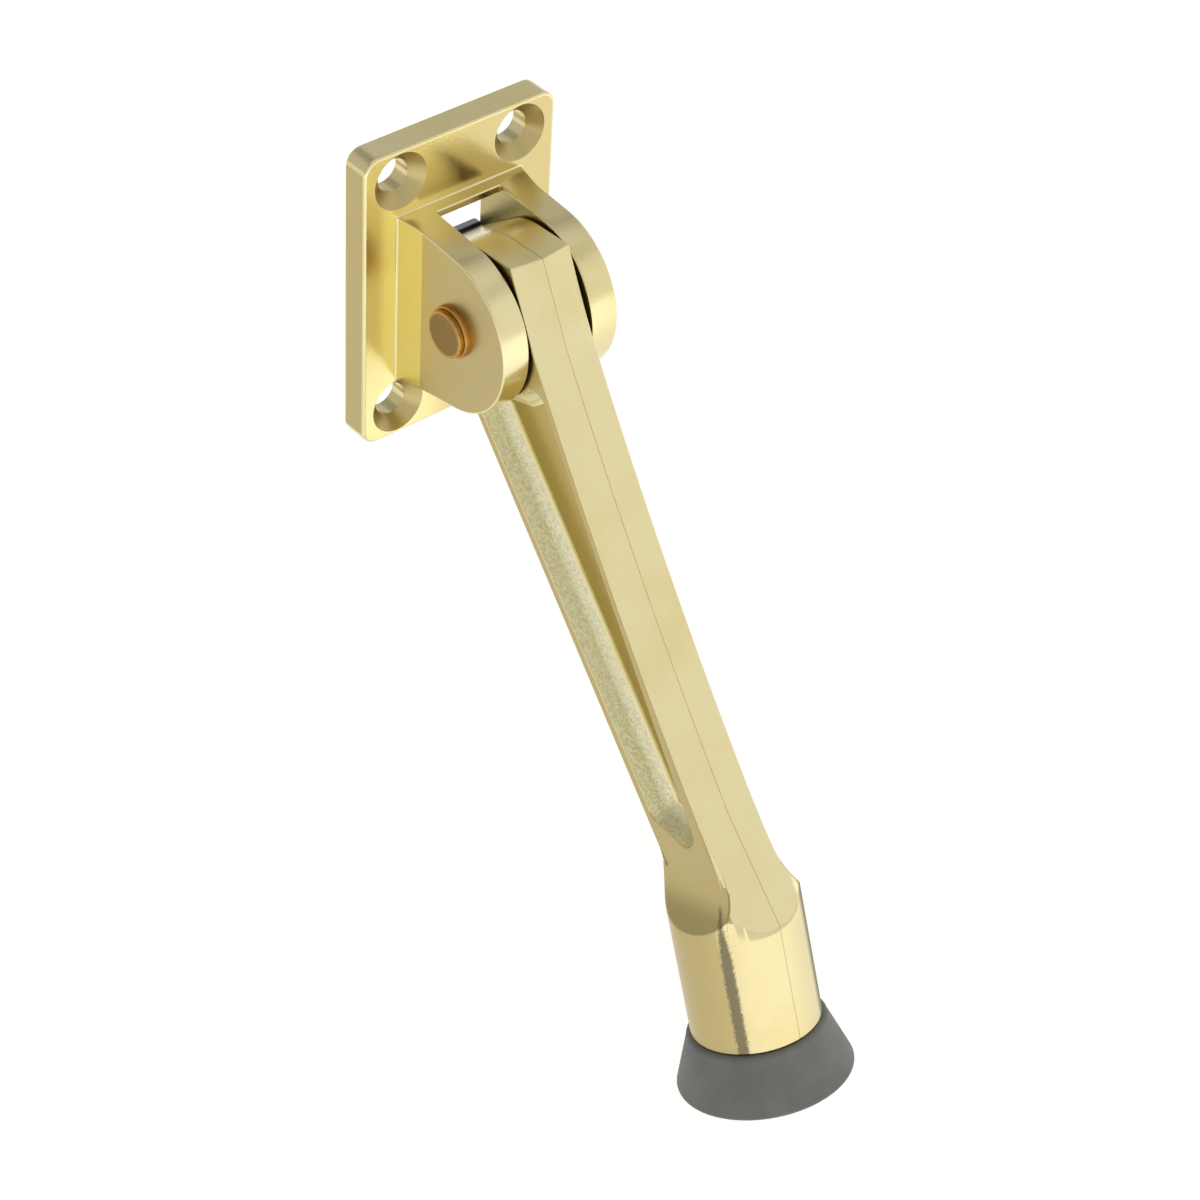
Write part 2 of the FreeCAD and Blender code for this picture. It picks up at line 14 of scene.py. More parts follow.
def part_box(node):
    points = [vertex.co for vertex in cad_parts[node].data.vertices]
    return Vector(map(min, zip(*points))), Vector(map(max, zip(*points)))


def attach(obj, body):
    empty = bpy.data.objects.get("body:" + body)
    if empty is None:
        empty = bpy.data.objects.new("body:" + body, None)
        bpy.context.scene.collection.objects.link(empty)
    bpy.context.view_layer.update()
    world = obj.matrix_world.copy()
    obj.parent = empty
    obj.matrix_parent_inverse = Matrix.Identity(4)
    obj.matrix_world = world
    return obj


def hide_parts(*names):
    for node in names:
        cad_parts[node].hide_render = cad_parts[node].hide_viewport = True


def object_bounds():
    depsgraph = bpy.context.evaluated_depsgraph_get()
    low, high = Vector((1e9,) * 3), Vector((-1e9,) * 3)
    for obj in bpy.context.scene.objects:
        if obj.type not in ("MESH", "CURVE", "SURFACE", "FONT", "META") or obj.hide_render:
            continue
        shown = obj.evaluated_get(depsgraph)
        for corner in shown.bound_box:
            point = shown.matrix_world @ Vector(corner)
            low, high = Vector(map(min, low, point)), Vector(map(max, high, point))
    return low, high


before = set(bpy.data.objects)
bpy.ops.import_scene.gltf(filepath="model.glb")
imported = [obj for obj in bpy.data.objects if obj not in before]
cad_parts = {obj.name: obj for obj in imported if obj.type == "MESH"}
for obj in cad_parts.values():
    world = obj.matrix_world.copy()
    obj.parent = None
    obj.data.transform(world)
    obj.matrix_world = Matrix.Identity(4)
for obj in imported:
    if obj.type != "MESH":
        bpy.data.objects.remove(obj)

MM = 0.001
PIVOT = Vector((0.0, -14.00146, 0.6))
REST = math.radians(-20.2)
cad_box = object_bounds()
print("nodes:", sorted(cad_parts))

# %% [markdown]
# The camera comes first, so that every later choice is judged in the photograph's own view. Its place
# could be guessed by eye, but the plate's corners and the rings of the foot pin it down, so azimuth,
# elevation, roll and distance are numbers measured from those.

# %% Camera
AZIMUTH = math.radians(-42.531)
ELEVATION = math.radians(40.074)
ROLL = math.radians(3.610)
DISTANCE = 0.43027
LENS = 104.93
TARGET = Vector((0.961, -31.983, -33.813)) * MM


def add_camera():
    """A camera that looks at the target from an azimuth and elevation, turned by its roll."""
    back = Vector((math.sin(AZIMUTH) * math.cos(ELEVATION), -math.cos(AZIMUTH) * math.cos(ELEVATION),
                   math.sin(ELEVATION)))
    right = Vector((math.cos(AZIMUTH), math.sin(AZIMUTH), 0))
    up = back.cross(right)
    rolled_right = right * math.cos(ROLL) + up * math.sin(ROLL)
    rolled_up = up * math.cos(ROLL) - right * math.sin(ROLL)
    data = bpy.data.cameras.new("camera")
    data.lens = LENS
    data.clip_start = 0.01
    data.clip_end = 20.0
    camera = bpy.data.objects.new("camera", data)
    turn = Matrix((rolled_right, rolled_up, back)).transposed().to_4x4()
    camera.matrix_world = Matrix.Translation(TARGET + back * DISTANCE) @ turn
    bpy.context.scene.collection.objects.link(camera)
    bpy.context.scene.camera = camera
    return camera


camera = add_camera()
print("camera at", [round(value, 4) for value in camera.matrix_world.translation])

# %% [markdown]
# Both castings are flat outlines pushed through space, joined and cut, as their dies were made. An
# outline is a list of points on a plane. Arcs get many short sides, so that polished metal shows no
# corners where there are none.


# %% Outlines
def arc(centre, radius, start, end, steps=24):
    """Points on an arc from one angle to another, both ends included."""
    points = []
    for step in range(steps + 1):
        angle = math.radians(start + (end - start) * step / steps)
        points.append((centre[0] + radius * math.cos(angle), centre[1] + radius * math.sin(angle)))
    return points


def heading(centre, point):
    """The angle at which a point stands around a centre."""
    return math.degrees(math.atan2(point[1] - centre[1], point[0] - centre[0]))


def tangent_point(centre, radius, start, side):
    """Where a line from a point touches a circle, above it for side +1 and below it for -1."""
    away = Vector(start) - Vector(centre)
    along = radius * radius / away.length_squared
    across = radius * math.sqrt(away.length_squared - radius * radius) / away.length_squared
    return (centre[0] + along * away.x - side * across * away.y,
            centre[1] + along * away.y + side * across * away.x)


def bow(start, end, radius, steps=16):
    """Points between two others on a shallow arc that bends to the right of the way for radius > 0."""
    start, end = Vector(start), Vector(end)
    chord = end - start
    depth = abs(radius) - math.sqrt(radius * radius - chord.length_squared / 4)
    side = Vector((chord.y, -chord.x)).normalized() * math.copysign(depth, radius)
    points = []
    for step in range(1, steps):
        share = step / steps
        points.append(tuple(start + chord * share + side * 4 * share * (1 - share)))
    return points


def rounded_box(half_width, half_height, radius, steps=10):
    """A rectangle about the origin with quarter-circle corners."""
    points = []
    for turn, (x, y) in enumerate(((1, 1), (-1, 1), (-1, -1), (1, -1))):
        centre = (x * (half_width - radius), y * (half_height - radius))
        points += arc(centre, radius, 90 * turn, 90 * turn + 90, steps)
    return points


# %% [markdown]
# A solid is made from outlines set one behind the other, with walls drawn between them. Two equal
# outlines give a prism, and a smaller second one gives the drafted walls of a cast pocket.


# %% Solids
def new_piece(name, mesh):
    """Turns bmesh geometry into an object whose faces point outwards."""
    bmesh.ops.recalc_face_normals(mesh, faces=mesh.faces)
    data = bpy.data.meshes.new(name)
    mesh.to_mesh(data)
    mesh.free()
    piece = bpy.data.objects.new(name, data)
    bpy.context.scene.collection.objects.link(piece)
    return piece


def loft(name, sections):
    """A solid through closed outlines that have the same number of points."""
    mesh = bmesh.new()
    rings = [[mesh.verts.new(point) for point in section] for section in sections]
    count = len(rings[0])
    for near, far in zip(rings, rings[1:]):
        for spot in range(count):
            after = (spot + 1) % count
            mesh.faces.new((near[spot], near[after], far[after], far[spot]))
    mesh.faces.new(rings[0])
    mesh.faces.new(rings[-1])
    return new_piece(name, mesh)


def lay(outline, axis, level):
    """Puts a flat outline into space across an axis, at a level on it."""
    if axis == "x":
        return [(level, a, b) for a, b in outline]
    if axis == "y":
        return [(a, level, b) for a, b in outline]
    return [(a, b, level) for a, b in outline]


def prism(name, outline, axis, low, high):
    """A solid with the same outline all the way along an axis."""
    return loft(name, [lay(outline, axis, low), lay(outline, axis, high)])


def block(name, low, high):
    """A box between two opposite corners."""
    outline = [(low[0], low[1]), (high[0], low[1]), (high[0], high[1]), (low[0], high[1])]
    return prism(name, outline, "z", low[2], high[2])


def turned(name, profile, steps=128):
    """A solid turned about the Z axis. The profile is (radius, height) from low to high."""
    mesh = bmesh.new()
    rings = []
    for radius, height in profile:
        if radius < 1e-6:
            rings.append([mesh.verts.new((0, 0, height))])
        else:
            circle = arc((0, 0), radius, 0, 360, steps)[:-1]
            rings.append([mesh.verts.new((x, y, height)) for x, y in circle])
    for near, far in zip(rings, rings[1:]):
        for spot in range(steps):
            after = (spot + 1) % steps
            corners = [near[spot % len(near)], near[after % len(near)], far[after % len(far)],
                       far[spot % len(far)]]
            mesh.faces.new(list(dict.fromkeys(corners)))
    for ring in (rings[0], rings[-1]):
        if len(ring) > 1:
            mesh.faces.new(ring)
    return new_piece(name, mesh)


# %% [markdown]
# Solids are joined and cut with the Boolean modifier. It can stay live, but a plain mesh is easier to
# look at and to move, so each result is baked in at once and the tool is thrown away.


# %% Joining, cutting and softening
MERGE = 0.002
SHARP = math.radians(32)


def bake(piece):
    """Replaces a piece's mesh with what its modifiers make of it."""
    bpy.context.view_layer.update()
    depsgraph = bpy.context.evaluated_depsgraph_get()
    result = bpy.data.meshes.new_from_object(piece.evaluated_get(depsgraph))
    piece.modifiers.clear()
    old = piece.data
    piece.data = result
    bpy.data.meshes.remove(old)


def combine(piece, tool, operation):
    """Joins a tool to a piece or cuts it out of it, and throws the tool away."""
    modifier = piece.modifiers.new("combine", "BOOLEAN")
    modifier.operation = operation
    modifier.object = tool
    modifier.solver = "EXACT"
    bake(piece)
    bpy.data.objects.remove(tool)


def soften(piece, width, steps=3, angle=30):
    """Rounds every edge that is sharper than an angle."""
    modifier = piece.modifiers.new("soften", "BEVEL")
    modifier.limit_method = "ANGLE"
    modifier.angle_limit = math.radians(angle)
    modifier.width = width
    modifier.segments = steps
    modifier.use_clamp_overlap = False
    modifier.miter_outer = "MITER_ARC"
    bake(piece)


def move(piece, matrix):
    """Moves the mesh and not the object, which has to stay at the origin."""
    piece.data.transform(matrix)


def clean(piece):
    """Merges points that the cuts left in one place, and drops edges that carry no face."""
    mesh = bmesh.new()
    mesh.from_mesh(piece.data)
    bmesh.ops.remove_doubles(mesh, verts=mesh.verts, dist=MERGE)
    bmesh.ops.dissolve_degenerate(mesh, edges=mesh.edges, dist=MERGE)
    bare = [edge for edge in mesh.edges if not edge.link_faces]
    bmesh.ops.delete(mesh, geom=bare, context="EDGES")
    mesh.to_mesh(piece.data)
    mesh.free()


def mark(piece, name, rule):
    """Stores a number on every face, worked out from its middle and its normal."""
    numbers = [float(rule(face.center, face.normal)) for face in piece.data.polygons]
    piece.data.attributes.new(name, "FLOAT", "FACE").data.foreach_set("value", numbers)


def settle(piece, node, body, material):
    """Makes a piece metres, smooths it, gives it a finish and lets it stand for its node."""
    clean(piece)
    move(piece, Matrix.Scale(MM, 4))
    piece.data.shade_smooth()
    piece.data.set_sharp_from_angle(angle=SHARP)
    modifier = piece.modifiers.new("normals", "WEIGHTED_NORMAL")
    modifier.keep_sharp = True
    bake(piece)
    piece.data.materials.clear()
    piece.data.materials.append(material)
    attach(piece, body)
    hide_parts(node)
    low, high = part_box(node)
    spots = [vertex.co for vertex in piece.data.vertices]
    miss = max(max(abs(min(spot[axis] for spot in spots) - low[axis]),
                   abs(max(spot[axis] for spot in spots) - high[axis])) for axis in range(3))
    print(f"{piece.name}: {len(piece.data.polygons)} faces, box within {miss / MM:.2f} mm of {node}")


# %% [markdown]
# Shader maths reads best as ordinary sums. Nodes could be made one by one, but a sum would then fill
# ten lines, so one small class lets a socket be added, subtracted and multiplied like a number.


# %% Shader expressions
class Term:
    """A shader socket that builds Math nodes when it is used in a sum."""

    def __init__(self, tree, socket):
        self.tree = tree
        self.socket = socket

    def math(self, operation, *others):
        node = self.tree.nodes.new("ShaderNodeMath")
        node.operation = operation
        for slot, value in enumerate((self, *others)):
            link(self.tree, value, node.inputs[slot])
        return Term(self.tree, node.outputs[0])

    def __add__(self, other):
        return self.math("ADD", other)

    def __sub__(self, other):
        return self.math("SUBTRACT", other)

    def __rsub__(self, other):
        return (self * -1.0).math("ADD", other)

    def __mul__(self, other):
        return self.math("MULTIPLY", other)

    __radd__ = __add__
    __rmul__ = __mul__

    def absolute(self):
        return self.math("ABSOLUTE")

    def ramp(self, low, high):
        """0 below low and 1 above high, with a soft way between; low may be the higher one."""
        node = self.tree.nodes.new("ShaderNodeMapRange")
        node.interpolation_type = "SMOOTHSTEP"
        start, end, first, last = (low, high, 0.0, 1.0) if low < high else (high, low, 1.0, 0.0)
        for name, value in (("Value", self), ("From Min", start), ("From Max", end), ("To Min", first),
                            ("To Max", last)):
            link(self.tree, value, node.inputs[name])
        return Term(self.tree, node.outputs[0])


def link(tree, value, socket):
    """Puts a term, a number or a colour into a socket."""
    if isinstance(value, Term):
        tree.links.new(value.socket, socket)
    else:
        socket.default_value = value


class Finish:
    """A material with one shader, and one method that makes any other node of it."""

    def __init__(self, name, **constants):
        self.material = bpy.data.materials.new(name)
        self.material.use_nodes = True
        self.tree = self.material.node_tree
        self.shader = self.tree.nodes["Principled BSDF"]
        self.set(**constants)

    def set(self, **inputs):
        for name, value in inputs.items():
            link(self.tree, value, self.shader.inputs[name.replace("_", " ")])

    def node(self, kind, output=0, settings=(), inputs=()):
        node = self.tree.nodes.new(kind)
        for name, value in dict(settings).items():
            setattr(node, name, value)
        for name, value in dict(inputs).items():
            link(self.tree, value, node.inputs[name])
        return Term(self.tree, node.outputs[output])

    def place(self):
        """The piece's own coordinates, which are the part's frame in metres."""
        return self.node("ShaderNodeTexCoord", "Object")

    def axis(self, number):
        """One of the three coordinates, in millimetres."""
        return self.node("ShaderNodeSeparateXYZ", number, inputs={0: self.place()}) * 1000.0

    def mark(self, name):
        """A number stored on the piece's faces."""
        return self.node("ShaderNodeAttribute", "Fac", {"attribute_name": name})

    def noise(self, scale, detail=3.0, rough=0.5, stretch=(1.0, 1.0, 1.0)):
        """Noise of about 0.5 on average; scale counts its lumps in a metre."""
        place = self.node("ShaderNodeVectorMath", 0, {"operation": "MULTIPLY"},
                          {0: self.place(), 1: stretch})
        return self.node("ShaderNodeTexNoise", 0,
                         inputs={"Vector": place, "Scale": scale, "Detail": detail, "Roughness": rough})

    def mix(self, share, first, second):
        """A colour between two."""
        return self.node("ShaderNodeMix", 2, {"data_type": "RGBA"}, {0: share, 6: first, 7: second})

    def bump(self, relief, distance, strength):
        """Relief that the light sees but the shape doesn't have."""
        inputs = {"Height": relief, "Distance": distance, "Strength": strength}
        self.set(Normal=self.node("ShaderNodeBump", 0, inputs=inputs))


print("shader helpers ready")

# %% [markdown]
# Brass plate on a zinc casting is pale, greenish and bright, but not a mirror: under the plate the
# casting has a fine orange-peel skin. So the finish is a metal with a little roughness, a very fine
# grain in its relief and a slow change of tint. A flat brass colour would look like paint.

# %% Brass finish
BRASS_PALE = (0.780, 0.690, 0.400, 1)
BRASS_GOLD = (0.720, 0.590, 0.250, 1)
# Painted shade for the satin side faces.
BRASS_SATIN_SHADE = (0.490, 0.400, 0.180, 1)
# Painted highlight and painted shade for the plate's front.
BRASS_PAINTED_HIGHLIGHT = (0.950, 0.820, 0.390, 1)
BRASS_PAINTED_SHADE = (0.600, 0.500, 0.230, 1)
# A painted reflection on the spread at the ears' root.
BRASS_SPREAD_SHEEN = (0.640, 0.570, 0.260, 1)
SKIN_RELIEF = 0.00003


def brass(finish):
    """The plate's tint before anything else is laid over it: pale, golden in slow patches."""
    tint = finish.noise(110.0, 3.0).ramp(0.42, 0.72)
    return finish.mix(tint * 0.5, BRASS_PALE, BRASS_GOLD)


def skin_of(finish):
    """The casting's fine skin under the plate."""
    return finish.noise(3000.0, 3.0, 0.6)


def bracket_finish():
    """Plated casting with painted light: shaded satin sides, a front lit on its left, a greener spread sheen.
    """
    finish = Finish("bracket_brass", Metallic=1.0)
    # Painted highlight on the front, lighter to its left and in painted shade to its right.
    left = finish.axis(0).ramp(3.0, -7.0)
    front = finish.mix(finish.mark("front"), brass(finish), finish.mix(left, BRASS_PAINTED_SHADE, BRASS_PAINTED_HIGHLIGHT))
    # Painted shade on the satin side faces and countersinks, which are also rougher.
    dull_and_shaded = finish.mark("satin")
    sides = finish.mix(dull_and_shaded, front, BRASS_SATIN_SHADE)
    # A painted reflection makes the spread lighter and greener.
    finish.set(Base_Color=finish.mix(finish.mark("spread"), sides, BRASS_SPREAD_SHEEN))
    skin = skin_of(finish)
    finish.set(Roughness=skin * 0.14 + dull_and_shaded * 0.12 + 0.15)
    finish.bump(skin, SKIN_RELIEF, 0.4)
    return finish.material


bracket_brass = bracket_finish()
print("made", bracket_brass.name)

# %% [markdown]
# The arm was cast in two halves of a die, which met on its middle line. The seam still shows down the
# front and over the hub. It could be modelled, but it is a tenth of a millimetre wide, so it is a thin
# groove in the relief, in a darker tint, where X is nearly 0. The rough skin of the recesses is in the
# finish too, and so is painted light: painted shade on the flanks, the recess floors, the socket's sides
# and its dark right edge, and a dark streak down the socket's left that is a painted reflection. Marks on
# the faces say where the recesses and the round are, and the angle around the socket says where on the round.

# %% Arm finish
BAR_HALF = 4.45
AXIS = -22.25
SEAM_HALF = 0.06
# Where a painted dark reflection runs down the socket's left.
REFLECTION_STREAK_ANGLE = -51.5
SEAM_TINT = (0.42, 0.33, 0.14, 1)
CAST_PALE = (0.900, 0.870, 0.620, 1)
CAST_GREY = (0.720, 0.700, 0.490, 1)
# Painted shade for the recess floors, and for the socket's streak and right edge.
WEB_SHADE_GOLD = (0.460, 0.340, 0.105, 1)
PAINTED_SHADE_TINT = (0.200, 0.170, 0.100, 1)


def around_and_down(finish):
    """The angle around the socket, 0 at its front and negative to the left, and the height along it."""
    ahead = finish.axis(1) - PIVOT.y
    above = finish.axis(2) - PIVOT.z
    out = ahead * math.cos(REST) + above * math.sin(REST)
    height = above * math.cos(REST) - ahead * math.sin(REST)
    return finish.axis(0).math("ARCTAN2", AXIS - out) * math.degrees(1.0), height


def arm_finish():
    """Brass with a parting seam, rough recesses, painted shade and a painted dark reflection on the socket.
    """
    finish = Finish("arm_brass", Metallic=1.0)
    off_middle = finish.axis(0).absolute()
    wander = finish.noise(700.0, 2.0) * 0.05
    seam = (off_middle + wander).ramp(SEAM_HALF * 2, SEAM_HALF)
    around, height = around_and_down(finish)
    # Painted shade on the socket's round: a quarter of it everywhere, and all of it far round its sides.
    round_shade = around.absolute().ramp(53.0, 58.0) * 0.75 + 0.25
    satin = finish.mark("satin") + finish.mark("round") * round_shade
    colour = finish.mix(satin, brass(finish), BRASS_SATIN_SHADE)
    speck = finish.noise(2400.0, 4.0, 0.7).ramp(0.4, 0.65)
    colour = finish.mix(finish.mark("cast"), colour, finish.mix(speck, CAST_PALE, CAST_GREY))
    # Painted shade on the recess floors.
    colour = finish.mix(finish.mark("web"), colour, WEB_SHADE_GOLD)
    # A painted dark reflection streaks down the socket's left, and painted shade darkens its right edge.
    ragged = finish.noise(3200.0, 5.0, 0.8) * 11.0 - 5.5
    half_width = height.ramp(-72.0, -80.0) * 3.6 + 0.9
    off_streak = (around - REFLECTION_STREAK_ANGLE + ragged).absolute()
    reflection_streak = (off_streak - half_width).ramp(2.0, -1.0) * height.ramp(-71.5, -73.0)
    shade = around.ramp(30.0, 44.0) * finish.mark("round")
    colour = finish.mix(reflection_streak + shade, colour, PAINTED_SHADE_TINT)
    finish.set(Base_Color=finish.mix(seam * 0.7, colour, SEAM_TINT))
    skin = skin_of(finish)
    cast = finish.mark("cast")
    finish.set(Roughness=skin * 0.14 + satin * 0.1 + cast * 0.3 + shade * 0.3 + 0.15)
    finish.bump(skin + speck * cast * 2.0 - seam * 1.5, SKIN_RELIEF, 0.45)
    return finish.material


arm_brass = arm_finish()
print("made", arm_brass.name)

# %% [markdown]
# The small pieces are of other stuff: a browner brass rivet, a strip of blued steel and grey rubber. One
# finish with other colours could do for all, but each catches the light in its own way. The rivet is
# dull where its face was formed, the steel has lines from rolling, and the rubber is rough and dusty.

# %% Pin, spring and rubber finishes
PIN_SIDE = ((0.40, 0.20, 0.04, 1), (0.58, 0.32, 0.08, 1))
PIN_FACE = ((0.21, 0.13, 0.04, 1), (0.32, 0.21, 0.07, 1))
STEEL = ((0.20, 0.23, 0.29, 1), (0.36, 0.40, 0.46, 1))
RUBBER = ((0.130, 0.134, 0.122, 1), (0.160, 0.164, 0.150, 1))


def pin_finish():
    """The rivet's formed head: brownish brass, dull in the middle and bright where the tool rubbed."""
    finish = Finish("pin_brass", Metallic=1.0)
    grain = finish.noise(1500.0, 3.0)
    out = finish.axis(0).absolute()
    ahead = (finish.axis(1) - PIVOT.y).math("POWER", 2.0)
    above = (finish.axis(2) - PIVOT.z).math("POWER", 2.0)
    face = out.ramp(10.0, 10.1) * (ahead + above).ramp(7.6, 6.6)
    colours = [finish.mix(grain, *pair) for pair in (PIN_SIDE, PIN_FACE)]
    finish.set(Base_Color=finish.mix(face, *colours), Roughness=grain * 0.2 + face * 0.2 + 0.2)
    finish.bump(grain, 0.00006, 0.5)
    return finish.material


def spring_finish():
    """Blued spring steel with rolling lines along the strip."""
    finish = Finish("spring_steel", Metallic=1.0)
    roll = finish.noise(900.0, 3.0, 0.5, (1.0, 1.0, 0.05))
    finish.set(Base_Color=finish.mix(roll, *STEEL), Roughness=roll * 0.2 + 0.28)
    return finish.material


def rubber_finish():
    """Grey moulded rubber, a little dusty, with a fine grain."""
    finish = Finish("foot_rubber")
    grain = finish.noise(2600.0, 5.0, 0.6)
    cloud = finish.noise(180.0, 3.0).ramp(0.3, 0.7)
    finish.set(Base_Color=finish.mix(cloud, *RUBBER), Roughness=grain * 0.25 + 0.5)
    finish.bump(grain, 0.00008, 0.5)
    return finish.material


pin_brass = pin_finish()
spring_steel = spring_finish()
foot_rubber = rubber_finish()
print("made", pin_brass.name, spring_steel.name, foot_rubber.name)

# %% [markdown]
# The bracket is one casting: a plate with a rounded front edge, and two ears whose noses carry the pin.
# The ears are drawn from the side as one thick block. Then the block's flanks are cut back, which
# leaves the small spread at its root, and a gap is cut for the arm. Two single ears could be joined on
# instead, but one block keeps their noses alike and leaves the lips above and below the window.

# %% Bracket plate and ears
PLATE_HALF_WIDTH = 14.3
PLATE_HALF_HEIGHT = 20.6
PLATE_DEPTH = 3.9
PLATE_CORNER = 2.2
PLATE_RIM = 2.4
SKIN_BACK = 1.95
EAR_HALF_SPAN = 8.7
EAR_SPREAD = 0.7
SPREAD_DEPTH = 3.9
GAP_HALF = 4.85
EAR_CENTRE = (-12.8, 0.0)
EAR_NOSE = 10.7
EAR_TOP = 11.45
EAR_FOOT = -12.4
LIP_DEPTH = 1.6
LIP_HEIGHT = 1.2
FAR = 26.0

plate_outline = rounded_box(PLATE_HALF_WIDTH, PLATE_HALF_HEIGHT, PLATE_CORNER)
bracket = prism("bracket_casting", plate_outline, "y", -PLATE_DEPTH, 0)
soften(bracket, 0.4, 4, 60)


def ear_outline():
    """Side view of the ears, from the plate round the nose and back."""
    high = tangent_point(EAR_CENTRE, EAR_NOSE, (-PLATE_DEPTH, EAR_TOP), 1)
    low = tangent_point(EAR_CENTRE, EAR_NOSE, (-PLATE_DEPTH, EAR_FOOT), -1)
    start = heading(EAR_CENTRE, high) % 360
    end = heading(EAR_CENTRE, low) % 360
    nose = arc(EAR_CENTRE, EAR_NOSE, start, end, 72)
    return [(-SKIN_BACK - 1, EAR_TOP), (-PLATE_DEPTH, EAR_TOP), *nose, (-PLATE_DEPTH, EAR_FOOT),
            (-SKIN_BACK - 1, EAR_FOOT)]


ears = prism("ears", ear_outline(), "x", -EAR_HALF_SPAN - EAR_SPREAD, EAR_HALF_SPAN + EAR_SPREAD)
for side in (1, -1):
    outer = side * EAR_HALF_SPAN
    spread = side * (EAR_HALF_SPAN + EAR_SPREAD)
    clear = side * (EAR_HALF_SPAN + EAR_SPREAD + 1)
    flank = [(spread, -PLATE_DEPTH), (outer, -PLATE_DEPTH - SPREAD_DEPTH), (outer, -FAR), (clear, -FAR),
             (clear, -PLATE_DEPTH)]
    combine(ears, prism("flank", flank, "z", -FAR, FAR), "DIFFERENCE")
gap = block("gap", (-GAP_HALF, -FAR, -FAR), (GAP_HALF, -PLATE_DEPTH - LIP_DEPTH, FAR))
combine(ears, gap, "DIFFERENCE")
combine(bracket, ears, "UNION")
window = block("window", (-GAP_HALF, -FAR, EAR_FOOT + LIP_HEIGHT), (GAP_HALF, 1, EAR_TOP - LIP_HEIGHT))
combine(bracket, window, "DIFFERENCE")
soften(bracket, 0.22, 3, 35)
print("plate and ears:", len(bracket.data.polygons), "faces")

# %% [markdown]
# A die casting is kept thin, because thick metal cools slowly and sinks in. A solid plate would look the
# same from the front, but it would be heavy, and wrong from behind. So the back is cut hollow inside a
# rim, which leaves a skin behind the plate's face.

# %% Hollow back
hollow_outline = rounded_box(PLATE_HALF_WIDTH - PLATE_RIM, PLATE_HALF_HEIGHT - PLATE_RIM, PLATE_CORNER / 2)
combine(bracket, prism("hollow", hollow_outline, "y", -SKIN_BACK, 1), "DIFFERENCE")
print("with hollow back:", len(bracket.data.polygons), "faces")

# %% [markdown]
# Four screw holes repeat at the corners, each with a boss behind it. One tree of Geometry Nodes turns a
# single shape into four at the corners of a grid, with the row and column spacing as its inputs, and is
# used for the bosses and for the cutters. A spare copy of each shape would do too, but a tree keeps the
# spacing in one place.


# %% Four at the corners
HOLE_ROW = 17.9
HOLE_COLUMN = 32.6


def corner_tree():
    """Geometry Nodes that put a shape at the four corners of a grid."""
    tree = bpy.data.node_groups.new("four_corners", "GeometryNodeTree")
    sockets = {}
    for name, kind, way in (("Shape", "NodeSocketObject", "INPUT"), ("Row", "NodeSocketFloat", "INPUT"),
                            ("Column", "NodeSocketFloat", "INPUT"), ("Finish", "NodeSocketMaterial", "INPUT"),
                            ("Geometry", "NodeSocketGeometry", "OUTPUT")):
        sockets[name] = tree.interface.new_socket(name, in_out=way, socket_type=kind).identifier
    start = tree.nodes.new("NodeGroupInput")
    end = tree.nodes.new("NodeGroupOutput")
    grid = tree.nodes.new("GeometryNodeMeshGrid")
    grid.inputs["Vertices X"].default_value = 2
    grid.inputs["Vertices Y"].default_value = 2
    stand = tree.nodes.new("GeometryNodeTransform")
    stand.inputs["Rotation"].default_value = (math.radians(90), 0, 0)
    shape = tree.nodes.new("GeometryNodeObjectInfo")
    copies = tree.nodes.new("GeometryNodeInstanceOnPoints")
    real = tree.nodes.new("GeometryNodeRealizeInstances")
    paint = tree.nodes.new("GeometryNodeSetMaterial")
    for source, target in ((start.outputs["Row"], grid.inputs["Size X"]),
                           (start.outputs["Column"], grid.inputs["Size Y"]),
                           (grid.outputs["Mesh"], stand.inputs["Geometry"]),
                           (stand.outputs["Geometry"], copies.inputs["Points"]),
                           (start.outputs["Shape"], shape.inputs["Object"]),
                           (shape.outputs["Geometry"], copies.inputs["Instance"]),
                           (copies.outputs["Instances"], real.inputs["Geometry"]),
                           (real.outputs["Geometry"], paint.inputs["Geometry"]),
                           (start.outputs["Finish"], paint.inputs["Material"]),
                           (paint.outputs["Geometry"], end.inputs["Geometry"])):
        tree.links.new(source, target)
    return tree, sockets


CORNERS, CORNER_SOCKETS = corner_tree()


def at_corners(name, shape):
    """Four copies of a shape in one object. The shape itself is thrown away."""
    holder = bpy.data.objects.new(name, bpy.data.meshes.new(name))
    bpy.context.scene.collection.objects.link(holder)
    modifier = holder.modifiers.new("corners", "NODES")
    modifier.node_group = CORNERS
    for socket, value in (("Shape", shape), ("Row", HOLE_ROW), ("Column", HOLE_COLUMN),
                          ("Finish", bracket_brass)):
        modifier[CORNER_SOCKETS[socket]] = value
    bake(holder)
    bpy.data.objects.remove(shape)
    return holder


print("tree inputs:", list(CORNER_SOCKETS))

# %% [markdown]
# The bosses give the screws something to bear on in the hollow back. They go in first, so that one cut
# then makes hole and countersink through boss and plate together. Both shapes are turned upright and
# then tipped to face the front.

# %% Bosses and countersunk holes
BOSS = 3.4
HOLE = 2.2
SINK = 3.82
SINK_DEPTH = 1.6

towards_front = Matrix.Rotation(math.radians(90), 4, "X")
boss = turned("boss", [(BOSS, 0.0), (BOSS, 2.9)], 64)
move(boss, towards_front)
combine(bracket, at_corners("bosses", boss), "UNION")
cutter = turned("cutter", [(HOLE, -1.0), (HOLE, PLATE_DEPTH - SINK_DEPTH),
                           (SINK - 0.14, PLATE_DEPTH - 0.12), (SINK, PLATE_DEPTH),
                           (SINK, PLATE_DEPTH + 1)], 96)
move(cutter, towards_front)
combine(bracket, at_corners("cutters", cutter), "DIFFERENCE")
print("with screw holes:", len(bracket.data.polygons), "faces")

